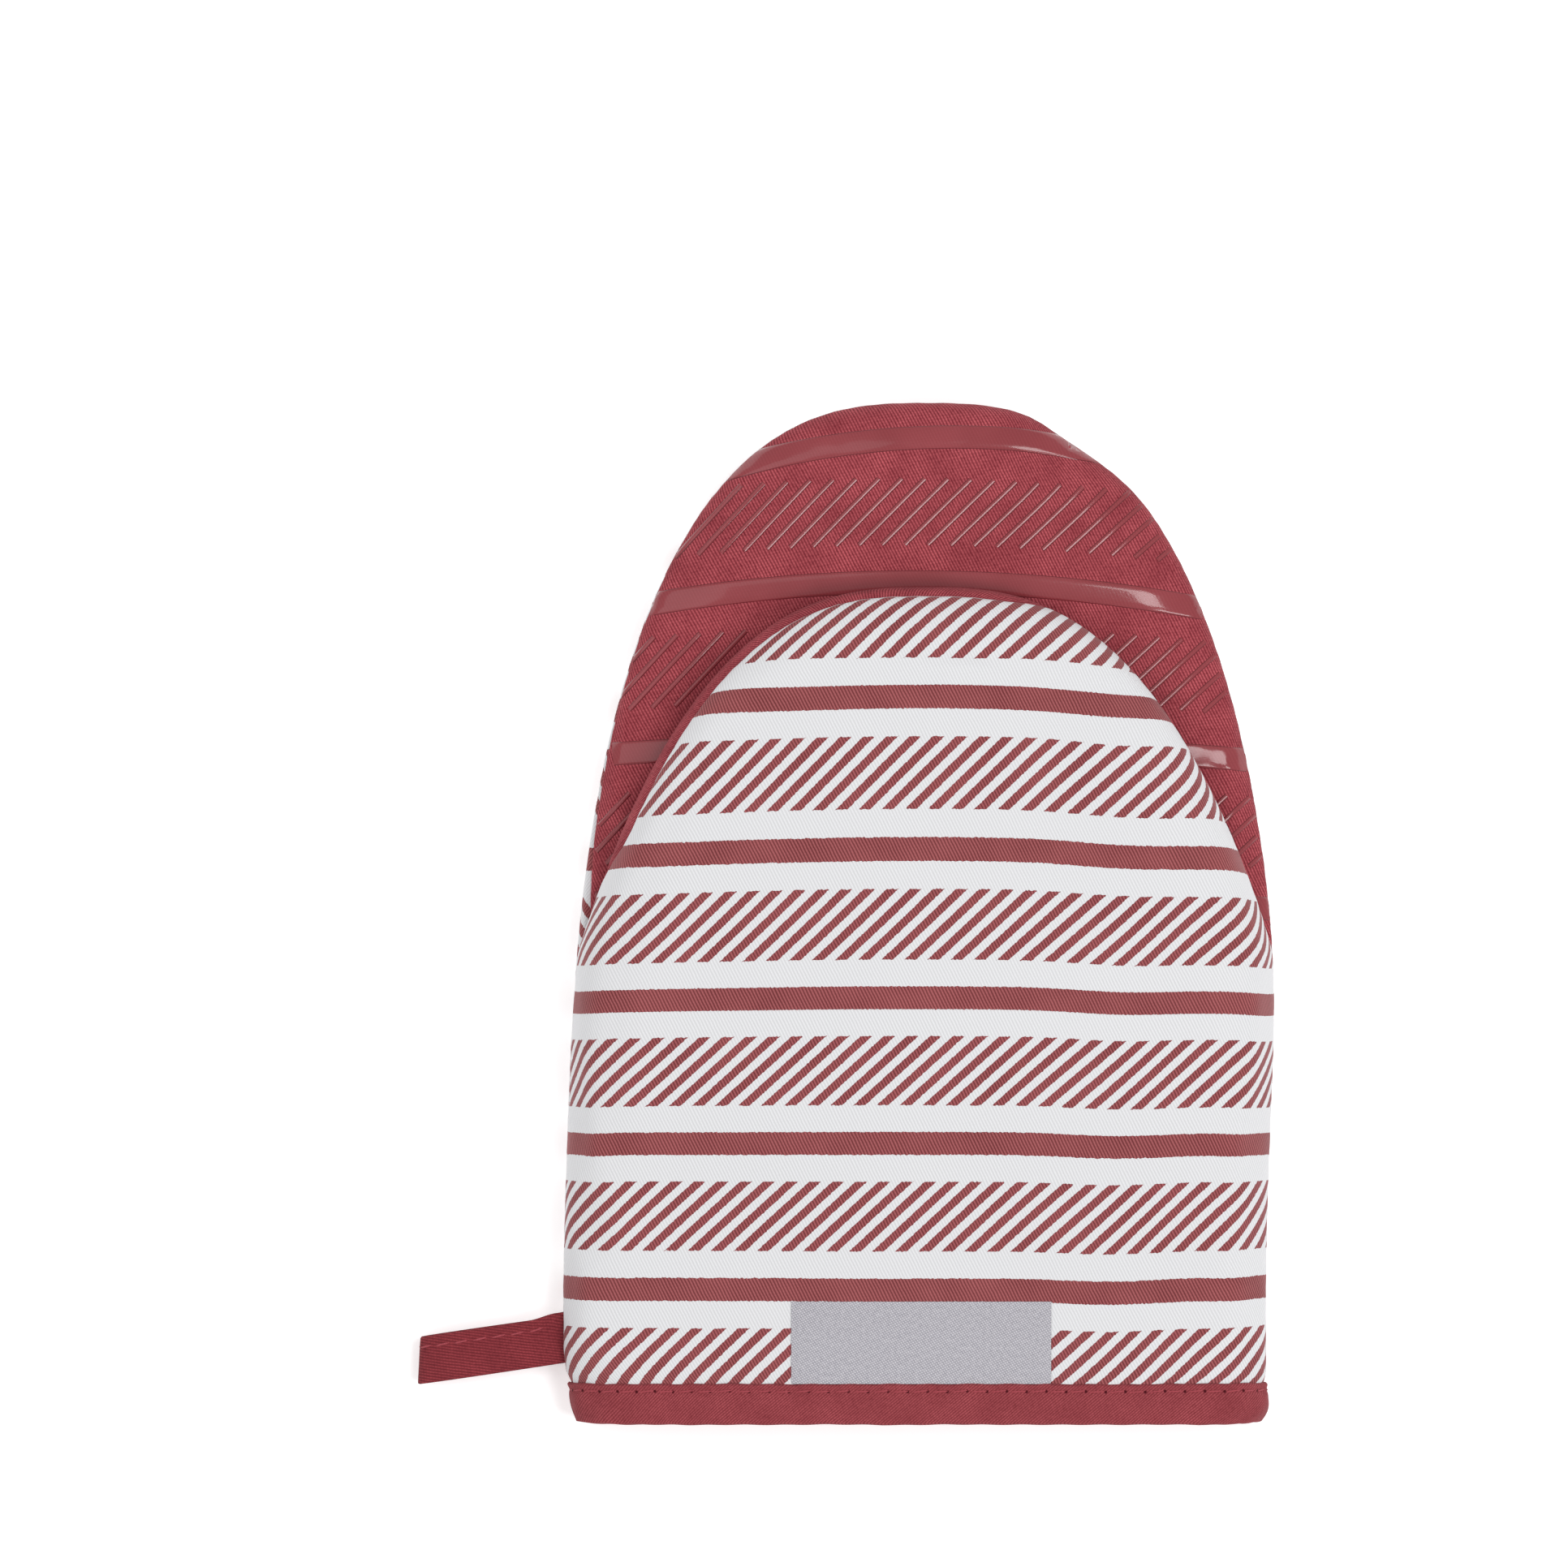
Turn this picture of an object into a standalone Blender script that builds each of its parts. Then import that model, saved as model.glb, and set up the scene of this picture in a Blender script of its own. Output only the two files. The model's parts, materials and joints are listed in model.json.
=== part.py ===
"""Pinch-style oven mitt, lying flat on its back with its mouth closed.

X runs across the mitt, Y from the cuff to the fingertips and Z up. The helpers below measure Y from
the cuff edge; every piece hangs on empties under one frame, which puts the middle of the underside
at the world origin.

Four padded panels make the mitt: the back and the finger grip hold the fingers, and the front and the
thumb grip hold the thumb. Each panel is a cloth shell, wadding and a lining.
"""

import math
from dataclasses import dataclass
from typing import Callable

import bmesh
import bpy
from mathutils import Vector
from mathutils.bvhtree import BVHTree

MM = 0.001

# Driving sizes, measured from the cuff edge
HALF_WIDTH = 70 * MM
FINGER_TIP = 203 * MM
THUMB_TIP = 166 * MM
CREASE = 92 * MM  # the bottom of the mouth, where the two grips meet
CUFF_RAW_EDGE = 1.2 * MM  # where the panels end inside the binding

# Heights above the table
SEAM = 6.5 * MM
CUFF_LIFT = 1.6 * MM
FINGER_GRIP_TOP = 14 * MM
THUMB_GRIP_UNDER = 15.2 * MM
FRONT_AT_CUFF = 18 * MM
FRONT_AT_THUMB = 29 * MM
MOUTH_AXIS = (FINGER_GRIP_TOP + THUMB_GRIP_UNDER) / 2

# A panel's layers, as depths below its outer face
GAP = 0.3 * MM
SHELL = (0, 0.6 * MM)
WADDING = (0.9 * MM, 3.3 * MM)
LINING = (3.6 * MM, 4.0 * MM)
WADDING_INSET = 6 * MM
LINING_INSET = 7.5 * MM
LIP = 1.05 * MM  # the outer face at the seam, above or below the seam line

# The fold at the base of the thumb needs this much room in the wadding on each side of the crease
FOLD_ROOM = 9 * MM

# The printed silicone bars: height from the cuff, and how far they drop at the panel's full width
FINGER_BARS = ((196 * MM, 15 * MM), (167 * MM, 8 * MM), (135 * MM, 3 * MM), (105 * MM, 2 * MM))
THUMB_BARS = ((110.5 * MM, 2 * MM), (140 * MM, 4 * MM))
BAR_WIDTH = 4.6 * MM
BAR_THICKNESS = 0.4 * MM
BAR_END_INSET = 3 * MM

BINDING_WIDTH = 8.2 * MM
BINDING_TOP = BINDING_WIDTH + GAP
BACK_FLAT_FROM = 24 * MM
BINDING_THICKNESS = 0.5 * MM
BINDING_FOLD = 0.6 * MM
CUFF_STITCH_HEIGHT = 6.7 * MM
THREAD_RADIUS = 0.2 * MM
SEAM_THREAD_RADIUS = 0.15 * MM
SEAM_ALLOWANCE = 3 * MM

LABEL_SIZE = (51.5 * MM, 15.4 * MM)
LABEL_THICKNESS = 0.4 * MM

LOOP_AT = (-71.6 * MM, 16.5 * MM)  # where the loop leaves the left side seam
LOOP_LENGTH = 27.4 * MM
LOOP_WIDTH = 9.3 * MM
LOOP_HALF_HEIGHT = 3.4 * MM
LOOP_PLY = 0.9 * MM
LOOP_SWING_BACK = math.radians(8.5)  # it points a little towards the cuff
LOOP_DROOP = math.radians(6)
LOOP_STITCH_OFFSET = 2.6 * MM

ROW_SPACING = 19 * MM  # along the outline, between the rows of a panel's faces
FINE_STEPS = 400

STRIPED = ("striped_cotton", (0.76, 0.75, 0.77), 0.9, 0.0)
RED_TWILL = ("red_twill", (0.34, 0.062, 0.075), 0.9, 0.0)
RED_TAPE = ("red_tape", (0.27, 0.052, 0.062), 0.85, 0.0)
BATTING = ("batting", (0.80, 0.79, 0.76), 1.0, 0.0)
LINING_CLOTH = ("lining_cotton", (0.70, 0.69, 0.68), 0.95, 0.0)
SILICONE = ("red_silicone", (0.25, 0.045, 0.055), 0.3, 0.0)
THREAD = ("red_thread", (0.30, 0.06, 0.07), 0.7, 0.0)
GREY_SATIN = ("grey_satin", (0.45, 0.45, 0.48), 0.5, 0.0)


def smooth(t):
    """0 below 0, 1 above 1, and a smooth step between."""
    t = min(max(t, 0.0), 1.0)
    return t * t * (3 - 2 * t)


def dome(y, start, tip, rise, roundness):
    """Half the width at y of an outline that is full width up to start and closes at the tip."""
    t = min(max((y - start) / (tip - start), 0.0), 1.0)
    return HALF_WIDTH * (1 - t**rise) ** (1 / roundness)


def finger_half_width(y):
    return dome(y, 70 * MM, FINGER_TIP, 1.98, 2.7)


def front_half_width(y):
    return min(finger_half_width(y), dome(y, 90 * MM, THUMB_TIP, 1.09, 2.7))


@dataclass
class Panel:
    """A padded panel. facing is 1 if its outer face looks up and -1 if it looks down."""

    stops: tuple  # heights that rows start at, from the base to the tip
    half_width: Callable
    seam: Callable
    plateau: Callable
    roll: float
    facing: int
    fan: float  # rows start to fan out this far below the tip

    def outer_z(self, edge_y, reach, y):
        """Height of the outer face, reach in from the outline along a row whose edge is at edge_y."""
        lip = self.seam(edge_y) + self.facing * LIP
        return lip + (self.plateau(y) - lip) * math.sin(math.pi / 2 * min(reach / self.roll, 1))

    def spine_y(self, edge_y):
        """Where a row meets the centre line: level with its edge, until the rows fan out at the tip."""
        start, spread = self.stops[-1] - self.fan, 14 * MM
        past = max(edge_y - start, 0)
        return edge_y - past + spread * (1 - math.exp(-past / spread))

    def reaches(self, inset=0.0):
        """How far in from the outline a row's points lie. Every layer uses the same ones, so that the
        layers nest."""
        places = (0, 2.5 * MM, WADDING_INSET, LINING_INSET, (LINING_INSET + self.roll) / 2, self.roll)
        return [reach for reach in places if reach >= inset]

    def row_heights(self, start=0.0, end=1.0):
        """Heights that rows start at: the stops, and evenly along the outline between them."""
        heights = [self.stops[0]]
        for low, high in zip(self.stops, self.stops[1:]):
            turns = [math.pi / 2 * k / FINE_STEPS for k in range(FINE_STEPS + 1)]
            fine = [low + (high - low) * math.sin(turn) for turn in turns]
            along = [0.0]
            for a, b in zip(fine, fine[1:]):
                along.append(along[-1] + math.hypot(b - a, self.half_width(b) - self.half_width(a)))
            rows = math.ceil(along[-1] / ROW_SPACING)
            for row in range(1, rows):
                heights.append(next(y for y, far in zip(fine, along) if far >= along[-1] * row / rows))
            heights.append(high)
        return [y for y in heights if start <= y <= end]


def finger_top(x, y):
    """Height of the finger grip's outer face."""
    reach = max(finger_half_width(y) - abs(x), 0)
    return FINGER_GRIP.outer_z(y, reach, y)


def thumb_seam(y):
    """The thumb's seam starts just above the finger seam at the mouth's corner and rises from there."""
    over_fingers = finger_top(front_half_width(y), y) + 2 * GAP + LIP
    return over_fingers + 4.5 * MM * smooth((y - CREASE) / (35 * MM))


def front_seam(y):
    if y >= CREASE:
        return thumb_seam(y)
    return SEAM + (thumb_seam(CREASE) - SEAM) * smooth((y - 70 * MM) / (22 * MM))


def front_plateau(y):
    return FRONT_AT_CUFF + (FRONT_AT_THUMB - FRONT_AT_CUFF) * smooth((y - BINDING_TOP) / (86 * MM))


def back_plateau(y):
    return CUFF_LIFT * (1 - smooth((y - BINDING_TOP) / (BACK_FLAT_FROM - BINDING_TOP)))


FOLD = (CREASE - FOLD_ROOM, CREASE, CREASE + FOLD_ROOM)
FINGER_GRIP = Panel(
    (CREASE, FINGER_TIP), finger_half_width, lambda y: SEAM, lambda y: FINGER_GRIP_TOP, 16 * MM, 1, 50 * MM
)
BACK = Panel(
    (CUFF_RAW_EDGE, BINDING_TOP, BACK_FLAT_FROM, FINGER_TIP),
    finger_half_width, lambda y: SEAM, back_plateau, 12 * MM, -1, 50 * MM,
)
THUMB_GRIP = Panel(
    (CREASE + GAP, FOLD[2], THUMB_TIP),
    front_half_width, thumb_seam, lambda y: THUMB_GRIP_UNDER, 14 * MM, -1, 45 * MM,
)
FRONT = Panel(
    (CUFF_RAW_EDGE, BINDING_TOP, *FOLD, THUMB_TIP),
    front_half_width, front_seam, front_plateau, 18 * MM, 1, 45 * MM,
)


def clear_scene():
    for obj in list(bpy.data.objects):
        bpy.data.objects.remove(obj)


def material(spec):
    name, colour, roughness, metallic = spec
    found = bpy.data.materials.get(name)
    if found:
        return found
    made = bpy.data.materials.new(name)
    made.use_nodes = True
    shader = made.node_tree.nodes["Principled BSDF"]
    shader.inputs["Base Color"].default_value = (*colour, 1)
    shader.inputs["Roughness"].default_value = roughness
    shader.inputs["Metallic"].default_value = metallic
    return made


def empty(name, location=(0, 0, 0), parent=None):
    made = bpy.data.objects.new(name, None)
    bpy.context.scene.collection.objects.link(made)
    made.parent = parent
    made.location = location
    return made


def add_object(name, data, spec, parent):
    """Links an object whose points are measured from the cuff edge, whatever empty it hangs on."""
    made = bpy.data.objects.new(name, data)
    data.materials.append(material(spec))
    bpy.context.scene.collection.objects.link(made)
    made.parent = parent
    made.location = -parent.location if parent.parent else (0, 0, 0)
    return made


def mesh_object(name, bm, spec, parent):
    bmesh.ops.remove_doubles(bm, verts=bm.verts, dist=1e-6)
    bmesh.ops.recalc_face_normals(bm, faces=bm.faces)
    bmesh.ops.triangulate(bm, faces=bm.faces, quad_method="SHORT_EDGE")
    mesh = bpy.data.meshes.new(name)
    bm.to_mesh(mesh)
    bm.free()
    mesh.shade_smooth()
    mesh.set_sharp_from_angle(angle=math.radians(40))
    return add_object(name, mesh, spec, parent)


def grid_solid(name, outer, inner, spec, parent, closed_tip=False):
    """A sheet between two grids of points, walled along its sides, its base and, unless it closes in a
    tip where the last row folds onto itself, its far end."""
    bm = bmesh.new()
    grids = [[[bm.verts.new(p) for p in row] for row in grid] for grid in (outer, inner)]
    rows, columns = len(outer), len(outer[0])
    for grid in grids:
        for i in range(rows - 1):
            for j in range(columns - 1):
                bm.faces.new((grid[i][j], grid[i + 1][j], grid[i + 1][j + 1], grid[i][j + 1]))
    top, under = grids
    border = [[(i, j) for i in range(rows)] for j in (0, columns - 1)]
    border += [[(i, j) for j in range(columns)] for i in ((0,) if closed_tip else (0, rows - 1))]
    for line in border:
        for (i, j), (k, m) in zip(line, line[1:]):
            bm.faces.new((top[i][j], top[k][m], under[k][m], under[i][j]))
    return mesh_object(name, bm, spec, parent)


def row_points(panel, edge_y, reaches, depth):
    """Points right across a panel, from its left edge over the centre line to its right edge."""
    edge = Vector((panel.half_width(edge_y), edge_y))
    spine = Vector((0, panel.spine_y(edge_y)))
    inward = (spine - edge).normalized()
    right = []
    for reach in [*reaches, (spine - edge).length]:
        at = edge + inward * reach
        right.append(Vector((at.x, at.y, panel.outer_z(edge_y, reach, at.y) - panel.facing * depth)))
    left = [Vector((-p.x, p.y, p.z)) for p in right]
    return left + right[-2::-1]


def layer(name, panel, depths, spec, parent, inset=0.0, start=0.0, end=None):
    """One layer of a panel, from its base to its tip, or between two rows."""
    heights = panel.row_heights(start, end or panel.stops[-1])
    grids = [[row_points(panel, y, panel.reaches(inset), depth) for y in heights] for depth in depths]
    return grid_solid(name, *grids, spec, parent, closed_tip=end is None)


def padded_panel(prefix, panel, shell_spec, parent):
    """A panel's three layers, whole from its base to its tip."""
    shell = layer(f"{prefix}_shell", panel, SHELL, shell_spec, parent)
    layer(f"{prefix}_wadding", panel, WADDING, BATTING, parent, WADDING_INSET)
    layer(f"{prefix}_lining", panel, LINING, LINING_CLOTH, parent, LINING_INSET)
    return shell


def surface_of(obj):
    return BVHTree.FromPolygons([v.co for v in obj.data.vertices], [p.vertices for p in obj.data.polygons])


def drop_onto(tree, x, y, facing):
    """The point of a shell's outer face at x, y."""
    hit, _, _, _ = tree.ray_cast(Vector((x, y, facing * 0.1)), Vector((0, 0, -facing)))
    return hit


def patch(name, tree, facing, lines, thickness, spec, parent):
    """A thin piece lying on a shell. lines are rows of (x, y) places."""
    grids = []
    for above in (GAP + thickness, GAP):
        lift = Vector((0, 0, facing * above))
        grids.append([[drop_onto(tree, x, y, facing) + lift for x, y in line] for line in lines])
    return grid_solid(name, grids[0], grids[1], spec, parent)


def bar(name, panel, tree, height, drop, parent):
    """A printed silicone bar right across a grip, dropping towards its ends."""
    steps = 30
    low = height - BAR_WIDTH / 2
    reach = panel.half_width(height)
    while panel.half_width(low + BAR_WIDTH - drop * (reach / HALF_WIDTH) ** 2) - BAR_END_INSET < reach:
        reach -= 0.5 * MM
    across = [reach * math.sin(math.pi * (k / steps - 0.5)) for k in range(steps + 1)]
    lines = [
        [(x, low + BAR_WIDTH * share - drop * (x / HALF_WIDTH) ** 2) for x in across]
        for share in (0, 0.5, 1)
    ]
    return patch(name, tree, panel.facing, lines, BAR_THICKNESS, SILICONE, parent)


def tube(name, points, radius, parent, cyclic=False):
    """A thread along the points."""
    curve = bpy.data.curves.new(name, "CURVE")
    curve.dimensions = "3D"
    curve.bevel_depth = radius
    curve.bevel_resolution = 1
    curve.use_fill_caps = True
    spline = curve.splines.new("POLY")
    spline.points.add(len(points) - 1)
    for point, at in zip(spline.points, points):
        point.co = (*at, 1)
    spline.use_cyclic_u = cyclic
    return add_object(name, curve, THREAD, parent)


def cuff_section(depth, inset=0.0):
    """The closed line round the wrist opening at that depth in the panels, as (x, z) from left to right
    over the front and back under the hand. Points nearer the outline than the inset stand above each
    other there, so that every section has as many points."""
    line = []
    for panel, order in ((FRONT, 1), (BACK, -1)):
        reaches = panel.reaches()
        row = row_points(panel, BINDING_WIDTH / 2, [max(reach, inset) for reach in reaches], depth)
        short = [max(inset - reach, 0) / max(inset, GAP) for reach in reaches]
        for point, share in zip(row, [*short, 0, *short[::-1]]):
            point.z += (SEAM - point.z) * 0.9 * share
        line += [Vector((p.x, p.z)) for p in row[::order]]
    return line


def grown(line, by):
    """A closed clockwise line moved outwards."""
    moved = []
    for before, at, after in zip(line[-1:] + line[:-1], line, line[1:] + line[:1]):
        way = (after - before).normalized()
        moved.append(at + by * Vector((-way.y, way.x)))
    return moved


def cuff_binding(parent):
    """A bias tape folded round the raw edge of the wrist opening."""
    outside = cuff_section(SHELL[0])
    inside = cuff_section(LINING[1], LINING_INSET)
    near, far = GAP, GAP + BINDING_THICKNESS
    corners = [
        (outside, far, BINDING_WIDTH),
        (outside, far, 0),
        (inside, -far, 0),
        (inside, -far, BINDING_WIDTH),
        (inside, -near, BINDING_WIDTH),
        (inside, -near, BINDING_FOLD),
        (outside, near, BINDING_FOLD),
        (outside, near, BINDING_WIDTH),
    ]
    bm = bmesh.new()
    rings = [[bm.verts.new((p.x, y, p.y)) for p in grown(line, away)] for line, away, y in corners]
    for ring, following in zip(rings, rings[1:] + rings[:1]):
        for k in range(len(ring)):
            bm.faces.new((ring[k - 1], ring[k], following[k], following[k - 1]))
    return mesh_object("cuff_binding", bm, RED_TAPE, parent)


def cuff_stitching(parent):
    ring = grown(cuff_section(SHELL[0]), 2 * GAP + BINDING_THICKNESS + THREAD_RADIUS)
    return tube(
        "cuff_stitching", [(p.x, CUFF_STITCH_HEIGHT, p.y) for p in ring], THREAD_RADIUS, parent, True
    )


def seam_line(panel, start, height_at):
    """Points along a seam, inside the outline by the seam allowance, from left to right."""
    right = []
    for y in panel.row_heights(start):
        edge = Vector((panel.half_width(y), y))
        at = edge + (Vector((0, panel.spine_y(y))) - edge).normalized() * SEAM_ALLOWANCE
        right.append(Vector((at.x, at.y, height_at(y, at.y))))
    return [Vector((-p.x, p.y, p.z)) for p in right] + right[-2::-1]


def seam_threads(root, thumb):
    """The lockstitch that closes the outline, the one round the thumb, and the one along the crease."""
    tube("outer_seam_thread", seam_line(BACK, BINDING_TOP, lambda edge, y: SEAM), SEAM_THREAD_RADIUS, root)

    def between_lips(edge, y):
        return sum(panel.outer_z(edge, SEAM_ALLOWANCE, y) for panel in (FRONT, THUMB_GRIP)) / 2

    thumb_line = seam_line(THUMB_GRIP, FOLD[2], between_lips)
    tube("thumb_seam_thread", thumb_line, SEAM_THREAD_RADIUS, thumb)
    reach, steps = HALF_WIDTH - 5 * MM, 24
    across = [reach * math.sin(math.pi * (k / steps - 0.5)) for k in range(steps + 1)]
    crease_line = [(x, CREASE - 2 * GAP, finger_top(x, CREASE) + 2 * GAP) for x in across]
    tube("crease_seam_thread", crease_line, SEAM_THREAD_RADIUS, root)


def label(front_tree, parent):
    """A plain woven label that stands on the binding's edge."""
    width, height = LABEL_SIZE
    base = BINDING_WIDTH + GAP
    across = [width * (k / 8 - 0.5) for k in range(9)]
    lines = [[(x, base + height * k / 4) for x in across] for k in range(5)]
    return patch("label", front_tree, 1, lines, LABEL_THICKNESS, GREY_SATIN, parent)


def loop_line(away):
    """The doubled tape's centre line from the upper end round the eye to the lower end, moved away
    outwards, as distance from the seam and height."""
    steps, narrow = 22, 0.75 * MM
    first = math.radians(14)
    points = []
    for k in range(steps + 1):
        turn = first + (2 * math.pi - 2 * first) * k / steps
        open_share = math.sin(turn) * math.sin(turn / 2) ** 1.2 / 0.83
        side = 1 if turn < math.pi else -1
        height = side * narrow * abs(math.sin(turn)) ** 0.2 + (LOOP_HALF_HEIGHT - narrow) * open_share
        points.append(Vector((LOOP_LENGTH / 2 * (1 - math.cos(turn)), height)))
    moved = []
    for k, at in enumerate(points):
        way = (points[min(k + 1, steps)] - points[max(k - 1, 0)]).normalized()
        moved.append(at + away * Vector((-way.y, way.x)))
    return moved


def loop_place(at, across):
    """A point of the loop: out from the seam, drooping, and across the tape's width."""
    out = at.x * math.cos(LOOP_DROOP) + at.y * math.sin(LOOP_DROOP)
    up = at.y * math.cos(LOOP_DROOP) - at.x * math.sin(LOOP_DROOP)
    x, y = LOOP_AT
    turn = LOOP_SWING_BACK
    return Vector(
        (
            x - out * math.cos(turn) - across * math.sin(turn),
            y - out * math.sin(turn) + across * math.cos(turn),
            SEAM + up,
        )
    )


def hanging_loop(parent):
    """A doubled twill tape, sewn into the side seam by both ends, and its topstitching."""
    edges = (-LOOP_WIDTH / 2, LOOP_WIDTH / 2)
    outer, inner = (
        [[loop_place(at, across) for across in edges] for at in loop_line(away)]
        for away in (LOOP_PLY / 2, -LOOP_PLY / 2)
    )
    grid_solid("hanging_loop", outer, inner, RED_TAPE, parent)
    line = loop_line(LOOP_PLY / 2 + GAP + SEAM_THREAD_RADIUS)[2:-2]
    tube("loop_stitching", [loop_place(at, LOOP_STITCH_OFFSET) for at in line], SEAM_THREAD_RADIUS, parent)


def build():
    clear_scene()
    frame = empty("mitt_frame", (0, -FINGER_TIP / 2, 0))
    mouth_hinge = empty("mouth_hinge", (0, CREASE, MOUTH_AXIS), frame)
    loop_hinge = empty("loop_hinge", (*LOOP_AT, SEAM), frame)

    padded_panel("back", BACK, STRIPED, frame)
    finger_shell = padded_panel("finger_grip", FINGER_GRIP, RED_TWILL, frame)
    thumb_shell = padded_panel("thumb_grip", THUMB_GRIP, RED_TWILL, mouth_hinge)

    front_shell = layer("front_shell", FRONT, SHELL, STRIPED, frame)
    layer("front_lining", FRONT, LINING, LINING_CLOTH, frame, LINING_INSET)
    layer("front_wadding_wrist", FRONT, WADDING, BATTING, frame, WADDING_INSET, end=FOLD[0])
    layer("front_wadding_thumb", FRONT, WADDING, BATTING, mouth_hinge, WADDING_INSET, start=FOLD[2])

    finger_tree, thumb_tree = surface_of(finger_shell), surface_of(thumb_shell)
    for number, (height, drop) in enumerate(FINGER_BARS, 1):
        bar(f"finger_grip_bar_{number}", FINGER_GRIP, finger_tree, height, drop, frame)
    for number, (height, drop) in enumerate(THUMB_BARS, 1):
        bar(f"thumb_grip_bar_{number}", THUMB_GRIP, thumb_tree, height, drop, mouth_hinge)

    cuff_binding(frame)
    cuff_stitching(frame)
    seam_threads(frame, mouth_hinge)
    label(surface_of(front_shell), frame)
    hanging_loop(loop_hinge)


build()
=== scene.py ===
"""Looks of the pinch-style oven mitt: printed cotton twill, red grips with printed silicone, bias
binding, a hanging loop and a blank label.

Shapes are worked out in the mitt's own lying frame: x across, h up from the cuff's edge and z above
the table. world() turns them into the CAD's frame.
"""

import math
from dataclasses import dataclass
from typing import Callable

import bmesh
import bpy
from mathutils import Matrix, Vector, noise
from mathutils.bvhtree import BVHTree
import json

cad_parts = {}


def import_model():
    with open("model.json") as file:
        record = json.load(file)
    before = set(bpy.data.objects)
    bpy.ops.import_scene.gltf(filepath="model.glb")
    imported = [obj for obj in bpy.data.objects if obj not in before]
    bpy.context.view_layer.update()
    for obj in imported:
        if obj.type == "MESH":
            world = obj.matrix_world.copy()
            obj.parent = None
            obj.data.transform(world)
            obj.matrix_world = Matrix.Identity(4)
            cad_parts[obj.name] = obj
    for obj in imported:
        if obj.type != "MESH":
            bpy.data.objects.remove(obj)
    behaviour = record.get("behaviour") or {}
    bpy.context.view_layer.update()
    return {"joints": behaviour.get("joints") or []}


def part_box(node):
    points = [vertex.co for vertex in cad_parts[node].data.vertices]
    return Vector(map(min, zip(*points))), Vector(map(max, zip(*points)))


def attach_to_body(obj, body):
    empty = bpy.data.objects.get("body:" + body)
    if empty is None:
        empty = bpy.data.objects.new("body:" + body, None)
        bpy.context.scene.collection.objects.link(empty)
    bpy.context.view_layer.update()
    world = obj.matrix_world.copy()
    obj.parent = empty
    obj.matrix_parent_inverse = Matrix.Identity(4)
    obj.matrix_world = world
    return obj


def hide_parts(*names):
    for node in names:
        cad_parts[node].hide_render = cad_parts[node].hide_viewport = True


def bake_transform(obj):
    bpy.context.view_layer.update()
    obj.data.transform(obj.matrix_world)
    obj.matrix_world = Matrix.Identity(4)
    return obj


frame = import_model()

MM = 0.001

# Driving sizes, read from the CAD
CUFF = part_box("cuff_binding")[0].y
HALF_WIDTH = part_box("back_shell")[1].x
FINGER_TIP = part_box("back_shell")[1].y - CUFF
THUMB_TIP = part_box("front_shell")[1].y - CUFF
FINGER_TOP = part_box("finger_grip_shell")[1].z
FRONT_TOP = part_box("front_shell")[1].z
CUFF_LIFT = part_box("cuff_binding")[0].z + 0.8 * MM
SEAM = sum(corner.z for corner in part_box("outer_seam_thread")) / 2
BINDING_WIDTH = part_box("cuff_binding")[1].y - CUFF
PANEL_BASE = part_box("back_shell")[0].y - CUFF
JOINTS = {joint["name"]: joint for joint in frame["joints"]}
MOUTH = Vector(JOINTS["mouth"]["pos_m"])
CREASE = MOUTH.y - CUFF
THUMB_UNDER = 2 * MOUTH.z - FINGER_TOP
FRONT_AT_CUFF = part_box("cuff_binding")[1].z - 0.8 * MM

# Depths below a panel's outer face
SHELL = (0.0, 0.6 * MM)
WADDING = (1.1 * MM, 3.4 * MM)
LINING = (3.7 * MM, 4.1 * MM)

ROW_STEP = 1.7 * MM  # between rows of cloth, along the outline
BENDS, FLATS = 16, 20  # steps over a panel's rounded edge and over half its face
HIDDEN = 2  # hidden layers take every second point
PUCKER_LENGTH = 6.1 * MM  # between the puckers along a panel's seam
THREAD_INSET = 1.2 * MM  # of a seam's thread from the cloth above or below it


# ---------------- shape of the lying mitt


def smooth(t):
    """A soft step from 0, where t is 0 or less, to 1, where it is 1 or more."""
    t = min(max(t, 0.0), 1.0)
    return t * t * (3 - 2 * t)


def dome(h, start, tip, rise, roundness):
    """Half the width of an outline that closes from start to its tip."""
    t = min(max((h - start) / (tip - start), 0.0), 1.0)
    return HALF_WIDTH * (1 - t**rise) ** (1 / roundness)


def finger_half_width(h):
    return dome(h, 70 * MM, FINGER_TIP, 1.98, 2.7)


def front_half_width(h):
    return min(finger_half_width(h), dome(h, 90 * MM, THUMB_TIP, 1.09, 2.7))


def finger_seam(h):
    """Height of the widest line round the fingers and the wrist. It rises to the mouth's corners."""
    return SEAM + 1.7 * MM * math.exp(-(((h - CREASE) / (16 * MM)) ** 2))


def back_face(x, h):
    return CUFF_LIFT * (1 - smooth((h - BINDING_WIDTH) / (16 * MM)))


def finger_face(x, h):
    crown = 1.1 * MM * (x / (50 * MM)) ** 2
    return FINGER_TOP - crown + 0.25 * MM * wave(x, h, 34 * MM, 3)


def thumb_under_face(x, h):
    return THUMB_UNDER


def front_face(x, h):
    rise = smooth((h - BINDING_WIDTH) / (86 * MM))
    crown = 1.6 * MM * (x / (55 * MM)) ** 2 * rise
    puff = 0.55 * MM * wave(x, h, 46 * MM, 7) + 0.22 * MM * wave(x, h, 17 * MM, 11)
    return FRONT_AT_CUFF + (FRONT_TOP - FRONT_AT_CUFF) * rise - crown + puff * smooth(h / (40 * MM))


def wave(x, h, length, seed):
    """A soft unevenness between about -1 and 1."""
    return 1.6 * noise.noise(Vector((x / length, h / length, seed)))


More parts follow.
